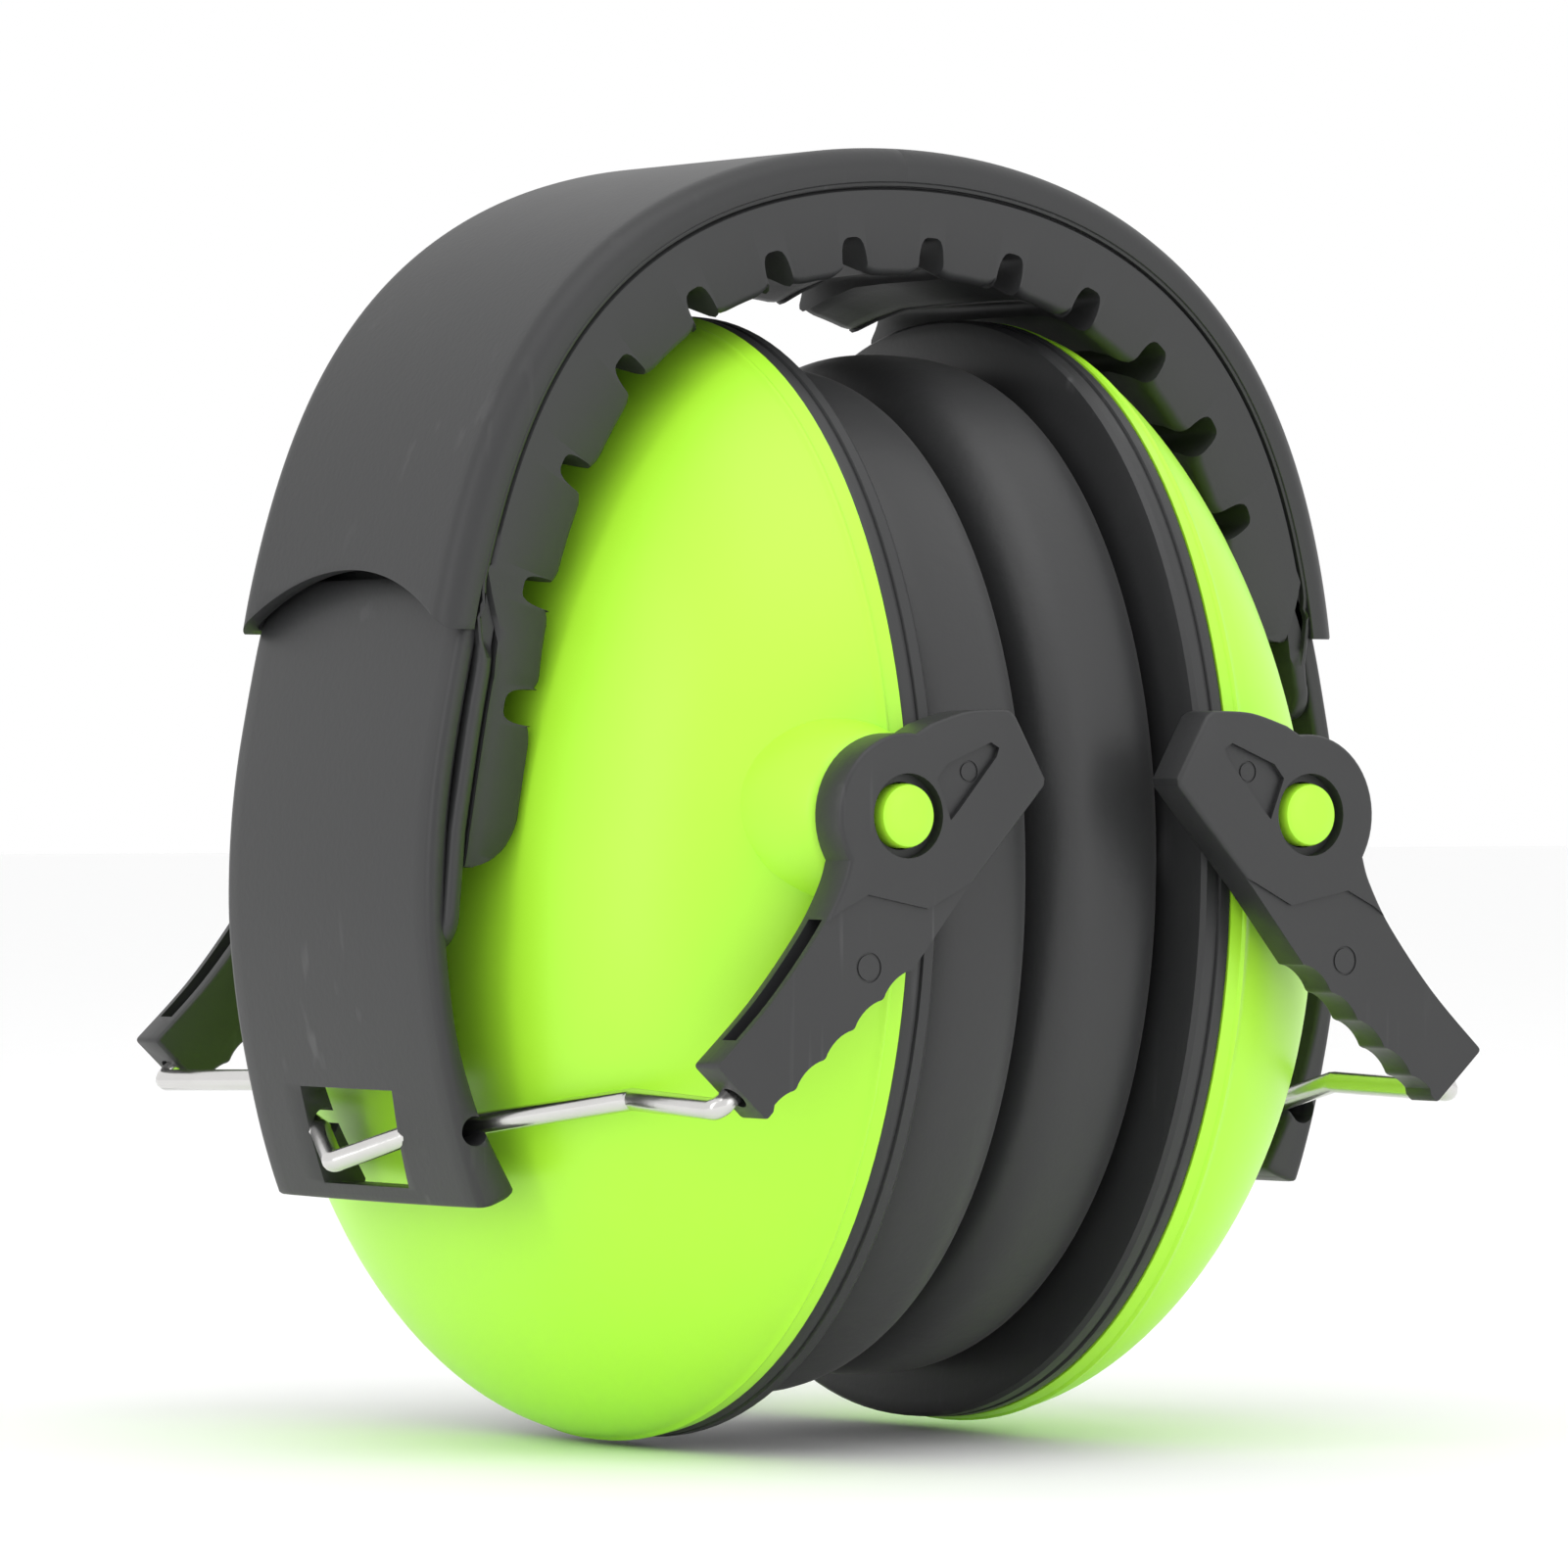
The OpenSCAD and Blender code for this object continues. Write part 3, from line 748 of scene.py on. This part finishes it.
# %% [markdown]
# Rows are placed closely beside each slot and near the pad's end, and widely between. Rows that
# would fall almost on top of each other are left out, so the mesh has no slivers.
# %% Loft the pad on each side
for side, sign in SIDES:
    end = angle_at(pad_ends[side], 44.0)
    marks = {0.0, end - 0.02}
    for slot_angle in (sign * s for s in SLOTS):
        for mm in (0, 0.5, 0.85, 1.08, 1.22, 1.31, 1.35, 1.42, 1.6, 2.0, 2.7):
            for way in (-1, 1):
                marks.add(slot_angle + way * mm / (PAD_EDGE_IN * math.pi / 180))
    marks |= set(np.arange(1.5, end, 1.5))
    marks |= {end - d for d in (5.2, 4.6, 3.9, 3.2, 2.5, 1.9, 1.3, 0.8, 0.4, 0.15)}
    angles, last = [], -1.0
    for mark in sorted(m for m in marks if 0 <= m < end):
        if mark - last > 0.03:
            angles.append(mark)
            last = mark
    pad = section_loft(side + "_pad_visual", sign, angles, pad_section_for(sign, end))
    smooth(pad, 50)
    middle = ("crown_pad",) if sign < 0 else ()
    bend_band(pad, side, sign, PAD_BLACK, "pad", side + "_pad", *middle)
    print(side, "pad rows", len(angles))


# %% [markdown]
# The sliders and arms have edges that are neither straight nor round. A few points are enough to
# draw such an edge when a smooth curve is passed through them.
# %% A smooth curve through given points
def curve_through(points, steps=6):
    """A smooth curve through the points, for an edge without corners."""
    out = []
    for i in range(len(points) - 1):
        before = points[i - 1] if i else points[i]
        after = points[i + 2] if i + 2 < len(points) else points[i + 1]
        for k in range(steps):
            t = k / steps
            out.append(tuple(0.5 * (2 * p1 + (p2 - p0) * t + (2 * p0 - 5 * p1 + 4 * p2 - p3) * t * t
                                    + (3 * p1 - p0 - 3 * p2 + p3) * t ** 3)
                             for p0, p1, p2, p3 in zip(before, points[i], points[i + 1], after)))
    return out + [tuple(points[-1])]


# %% [markdown]
# ## Sliders
# Each slider is a slightly crowned plate that runs in the band's channel, then curves in under
# the cup and thickens into a foot that holds the wire. It is lofted down its length; the window
# for the wire's kink and the bore for the wire are cut afterwards.
# %% The slider's side line and section
SLIDER_WALL, SLIDER_HALF, FOOT_WALL = 2.2, BAND_HALF - 0.7, 4.3
SIDE_LINE = [(46.9, 79.0), (48.6, 74.5), (50.1, 68.0), (51.4, 61.0), (52.05, 54.5), (52.15, 48.0),
             (51.6, 42.0), (50.6, 36.0), (49.0, 29.3), (47.6, 24.8), (46.5, 21.9)]
WINDOW = [(-7.8, 32.6), (7.8, 32.6), (7.8, 23.7), (-6.6, 23.7)]
WIRE_BORE_R = 1.35
side_curve = [Vector((x, 0, z)) for x, z in curve_through(SIDE_LINE, 7)]


def slider_station(k):
    """Outer surface point, inward direction and thickness, for k from 0 at the top to 1 at the foot."""
    place_on = k * (len(side_curve) - 1)
    i = min(int(place_on), len(side_curve) - 2)
    point = side_curve[i].lerp(side_curve[i + 1], place_on - i)
    ahead = (side_curve[min(i + 2, len(side_curve) - 1)] - side_curve[max(i - 1, 0)]).normalized()
    share = max(0.0, (k - 0.66) / 0.34)
    wall = SLIDER_WALL + (FOOT_WALL - SLIDER_WALL) * share * share * (3 - 2 * share)
    return (point.x, point.z), (ahead.z, -ahead.x), wall


def slider_row(sign, k, shrink=0.0):
    (px, pz), (nx, nz), wall = slider_station(k)
    outer = [(SLIDER_HALF, 0.75), (SLIDER_HALF - 0.06, 0.42), (SLIDER_HALF - 0.3, 0.16),
             (SLIDER_HALF - 0.8, 0.03), (SLIDER_HALF - 2.5, 0.0), (11.0, 0.0), (7.8, 0.0), (3.5, 0.0)]
    ring = [(-y, d) for y, d in outer] + [(y, d) for y, d in reversed(outer)]
    inner = [(SLIDER_HALF, wall - 0.5), (SLIDER_HALF - 0.2, wall - 0.15), (SLIDER_HALF - 0.6, wall),
             (7.8, wall)]
    ring += inner + [(-y, d) for y, d in reversed(inner)]
    row = []
    for y, depth in ring:
        depth = depth + (wall / 2 - depth) * shrink
        crown = 0.2 * (y / SLIDER_HALF) ** 2 if depth < wall / 2 else 0.0
        row.append((sign * (px + nx * (depth + crown)), y * (1 - 0.02 * shrink), pz + nz * (depth + crown)))
    return row


# %% [markdown]
# Both ends of the loft shrink over a few rows, which rounds them. The window and the bore go in
# last, before the edges are softened, so that their edges are rounded with the rest.
# %% Slider plates and feet
for side, sign in SIDES:
    rows = [slider_row(sign, 0.0, 0.8), slider_row(sign, 0.003, 0.35)]
    rows += [slider_row(sign, k) for k in np.linspace(0.008, 0.975, 56)]
    for k, shrink in ((0.985, 0.08), (0.993, 0.25), (0.998, 0.5), (1.0, 0.8)):
        rows.append(slider_row(sign, k, shrink))
    slider = loft(side + "_slider_visual", rows)
    near, far = sorted((sign * 38, sign * 56))
    cut(slider, loft("window", [[(x, y, z) for y, z in WINDOW] for x in (near, far)]))
    for end in (-1, 1):
        bore = [(WIRE_BORE_R, end * 7.0), (WIRE_BORE_R, end * 20.0)]
        cut(slider, lathe("bore", bore, (sign * PIVOT.x, 0, PIVOT.z), 24))
    soften(slider, 0.25, segments=2, angle=45)
    smooth(slider, 40)
    finish_piece(slider, side + "_slider", MOULDED, "slider", side + "_slider")
print("sliders made")

# %% [markdown]
# ## Yoke wires
# One length of spring wire makes each yoke. Its route is a chain of straight stretches; the
# bends are filleted to the radius that a bending jig gives, and a round section is swept along.
# %% Wire route and sweep
def filleted(points, radii, steps=9):
    """A route with every inner corner rounded."""
    out = [Vector(points[0])]
    for before, corner, after, radius in zip(points, points[1:], points[2:], radii):
        corner = Vector(corner)
        u, v = (Vector(before) - corner).normalized(), (Vector(after) - corner).normalized()
        half = u.angle(v) / 2
        reach = radius / math.tan(half)
        centre = corner + (u + v).normalized() * (radius / math.sin(half))
        start, stop = corner + u * reach - centre, corner + v * reach - centre
        for k in range(steps + 1):
            out.append(centre + start.slerp(stop, k / steps))
    out.append(Vector(points[-1]))
    return out


def sweep(name, route, radius, sides=16):
    rows, frame_x = [], None
    for k, point in enumerate(route):
        ahead = (route[min(k + 1, len(route) - 1)] - route[max(k - 1, 0)]).normalized()
        if frame_x is None:
            frame_x = ahead.orthogonal().normalized()
        frame_x = (frame_x - ahead * frame_x.dot(ahead)).normalized()
        frame_y = ahead.cross(frame_x)
        rows.append([tuple(point + frame_x * (radius * math.cos(2 * math.pi * j / sides))
                           + frame_y * (radius * math.sin(2 * math.pi * j / sides))) for j in range(sides)])
    return loft(name, rows)


WIRE_R = 1.0
ARM_MID = (ARM_IN + ARM_OUT) / 2
BEND = (PIN.x + 18.5, PIN.z - 25.7)
TIP = (PIN.x - 12.0, PIN.z + 1.5)
for side, sign in SIDES:
    half = [(PIVOT.x, 6.9, PIVOT.z), (PIVOT.x, 33.0, PIVOT.z), (BEND[0], ARM_MID, BEND[1]),
            (TIP[0] - 1.6, ARM_MID, TIP[1] + 1.45)]
    front = [(x, -y, z) for x, y, z in reversed(half)]
    points = front + [(PIVOT.x + 5.3, 0.0, PIVOT.z - 4.2)] + half
    radii = [1.6, 9.0, 2.0, 1.9, 2.0, 9.0, 1.6]
    route = filleted([(sign * x, y, z) for x, y, z in points], radii)
    wire = sweep(side + "_wire_visual", route, WIRE_R)
    soften(wire, 0.15, segments=2, angle=60)
    finish_piece(wire, side + "_yoke", STEEL, "wire", side + "_yoke_wire")
    length = sum((b - a).length for a, b in zip(route, route[1:]))
    print(side, "wire length", round(length, 1), "mm")


# %% [markdown]
# ## Fork arms
# The arms are flat mouldings pushed over the wire's ends: an eye round the cup's pin, a pointed
# head, and a handle with finger scallops. The outline is drawn once, extruded and rounded, then
# given its step below the eye, the snap-in recess, the mould marks and the slot along its edge.
# %% The arm's outline
EYE_R = 7.3
HANDLE_END, GRIP_START, SCALLOPS = (15.1, -26.3), (-0.5, -13.4), 5
outer_edge = curve_through([(6.2, -3.9), (7.0, -6.2), (9.4, -10.2), (14.4, -16.2), (20.2, -21.7)])
grip = []
for k in range(41):
    t = k / 40
    x = HANDLE_END[0] + (GRIP_START[0] - HANDLE_END[0]) * t
    z = HANDLE_END[1] + (GRIP_START[1] - HANDLE_END[1]) * t
    dip = 0.55 * abs(math.sin(math.pi * SCALLOPS * t)) ** 0.7 * (1.0 if 0.06 < t < 0.98 else 0.3)
    grip.append((x - 0.64 * (0.4 - dip) + 0.1, z - 0.77 * (0.4 - dip) + 0.1))
tip_edge = [(-6.4, -6.7), (-15.0, 2.6), (-15.1, 3.3), (-11.8, 8.9), (-11.2, 9.3)]
upper_edge = curve_through([(-10.6, 9.4), (-6.5, 9.2), (-2.6, 8.1)])
eye_edge = [(EYE_R * math.sin(math.radians(a)), EYE_R * math.cos(math.radians(a))) for a in range(-8, 123, 6)]
ARM_OUTLINE = outer_edge + grip + tip_edge + upper_edge + eye_edge
print("arm outline points", len(ARM_OUTLINE))


# %% [markdown]
# Every feature of an arm is a flat outline pushed through a range of depths, so one helper makes
# both the plate and its cutters. The edges are rounded before cutting, to keep the cuts crisp.
# %% Plates, cutters and the finished arms
def plate(name, sign, end, outline, y_low, y_high):
    rows = [[(sign * (PIN.x + x), end * y, PIN.z + z) for x, z in outline] for y in (y_low, y_high)]
    return loft(name, rows)


def ellipse(x, z, rx, rz, turn=0.0, count=24):
    c, s = math.cos(math.radians(turn)), math.sin(math.radians(turn))
    turns = [2 * math.pi * k / count for k in range(count)]
    points = [(rx * math.cos(a), rz * math.sin(a)) for a in turns]
    return [(x + px * c - pz * s, z + px * s + pz * c) for px, pz in points]


def ring_cut(piece, sign, end, centre, radius, width, y_low, y_high):
    tool = plate("ring tool", sign, end, ellipse(*centre, radius, radius), y_low, y_high)
    core = plate("core", sign, end, ellipse(*centre, radius - width, radius - width), y_low - 1, y_high + 1)
    cut(tool, core)
    cut(piece, tool)


STEP_LINE = [(-9.4, -4.6), (-2.2, -8.2), (4.3, -6.9), (7.4, -8.4), (25, -20), (15, -35), (-12, -14)]
RECESS = [(-3.1, 3.3), (-4.6, -0.4), (-5.4, 0.4), (-9.6, 5.2), (-9.9, 6.0), (-9.0, 6.5), (-4.2, 4.6)]
EDGE_SLOT = [(5.9, -6.9), (7.6, -7.7), (10.2, -11.2), (15.2, -16.9), (19.6, -21.3), (18.9, -22.0),
             (14.2, -17.9), (8.9, -12.4), (6.0, -8.0)]
PIN_HOLE_R, COUNTERBORE_R = 3.0, 3.75
for side, sign in SIDES:
    for word, end in (("front", -1), ("rear", 1)):
        arm = plate(f"{side}_{word}_arm_visual", sign, end, ARM_OUTLINE, ARM_IN, ARM_OUT)
        soften(arm, 0.42, segments=3, angle=50)
        cut(arm, plate("step", sign, end, STEP_LINE, ARM_OUT - 0.28, ARM_OUT + 2))
        cut(arm, plate("recess", sign, end, RECESS, ARM_OUT - 0.55, ARM_OUT + 2))
        cut(arm, plate("edge slot", sign, end, EDGE_SLOT, ARM_IN + 1.15, ARM_OUT - 1.0))
        pin_hole = ellipse(0, 0, PIN_HOLE_R, PIN_HOLE_R, count=40)
        cut(arm, plate("pin hole", sign, end, pin_hole, ARM_IN - 1, ARM_OUT + 1))
        counterbore = ellipse(0, 0, COUNTERBORE_R, COUNTERBORE_R, count=40)
        cut(arm, plate("counterbore", sign, end, counterbore, ARM_OUT - 1.3, ARM_OUT + 1))
        ring_cut(arm, sign, end, (4.1, -13.3), 1.35, 0.22, ARM_OUT - 0.4, ARM_OUT + 1)
        ring_cut(arm, sign, end, (-6.9, 3.9), 1.0, 0.2, ARM_OUT - 0.67, ARM_OUT + 1)
        cut(arm, sweep("wire bore", [Vector((sign * x, end * ARM_MID, z)) for x, z in
                                     ((BEND[0] + 0.6, BEND[1] - 0.5), (BEND[0] - 2.2, BEND[1] + 1.9))], 1.22))
        smooth(arm, 32)
        finish_piece(arm, side + "_yoke", MOULDED, "arm", f"{side}_{word}_arm")
print("arms made")

# %% [markdown]
# ## Floor, light and camera
# The studio is a plain white floor and a bright even world, with a broad soft light above, a fill
# in front and a tall narrow light on the left, so that the black mouldings show soft sheens.
# %% Stage
floor_mesh = bpy.data.meshes.new("floor")
floor_mesh.from_pydata([(-6, -6, 0), (6, -6, 0), (6, 6, 0), (-6, 6, 0)], [], [(0, 1, 2, 3)])
floor = bpy.data.objects.new("studio_floor", floor_mesh)
bpy.context.scene.collection.objects.link(floor)
floor.location.z = -0.0009
FLOOR = surface("pale floor", (0.95, 0.95, 0.95), (0.97, 0.97, 0.97), (0.7, 0.8), 0.02)
floor_mesh.materials.append(FLOOR)

world = bpy.context.scene.world or bpy.data.worlds.new("studio")
bpy.context.scene.world = world
world.use_nodes = True
world.node_tree.nodes["Background"].inputs["Color"].default_value = (1, 1, 1, 1)
world.node_tree.nodes["Background"].inputs["Strength"].default_value = 1.0


def soft_light(name, place_at, aim, size, watts):
    data = bpy.data.lights.new(name, "AREA")
    data.shape = "RECTANGLE"
    data.size, data.size_y = size
    data.energy = watts
    lamp = bpy.data.objects.new(name, data)
    lamp.location = place_at
    lamp.rotation_euler = (Vector(aim) - Vector(place_at)).to_track_quat("-Z", "Y").to_euler()
    bpy.context.scene.collection.objects.link(lamp)


soft_light("top softbox", (-0.15, -0.35, 0.95), (0, 0, 0.05), (0.9, 0.7), 2.4)
soft_light("front fill", (0.35, -1.1, 0.35), (0, 0, 0.06), (0.7, 0.7), 1.2)
soft_light("left strip light", (-1.0, -0.1, 0.4), (0, 0, 0.06), (0.25, 0.9), 1.5)
bpy.context.scene.view_settings.view_transform = "Standard"

# %% [markdown]
# The camera stands well back with a long lens, which keeps the perspective slight. It looks level,
# at about half the object's height, and is turned 35 degrees to the left of the front.
# %% Camera
VIEW_TURN, DISTANCE, LOOK_Z = math.radians(-35), 0.830, 0.0602
camera_data = bpy.data.cameras.new("camera")
camera_data.sensor_width = 36
camera_data.lens = 202.9
camera_data.shift_x, camera_data.shift_y = -0.0072, 0.0
camera_data.clip_start, camera_data.clip_end = 0.05, 20
camera = bpy.data.objects.new("camera", camera_data)
camera.location = (DISTANCE * math.sin(VIEW_TURN), -DISTANCE * math.cos(VIEW_TURN), LOOK_Z)
camera.rotation_euler = (math.radians(90), 0, VIEW_TURN)
bpy.context.scene.collection.objects.link(camera)
bpy.context.scene.camera = camera
print("camera at", [round(c, 4) for c in camera.location])
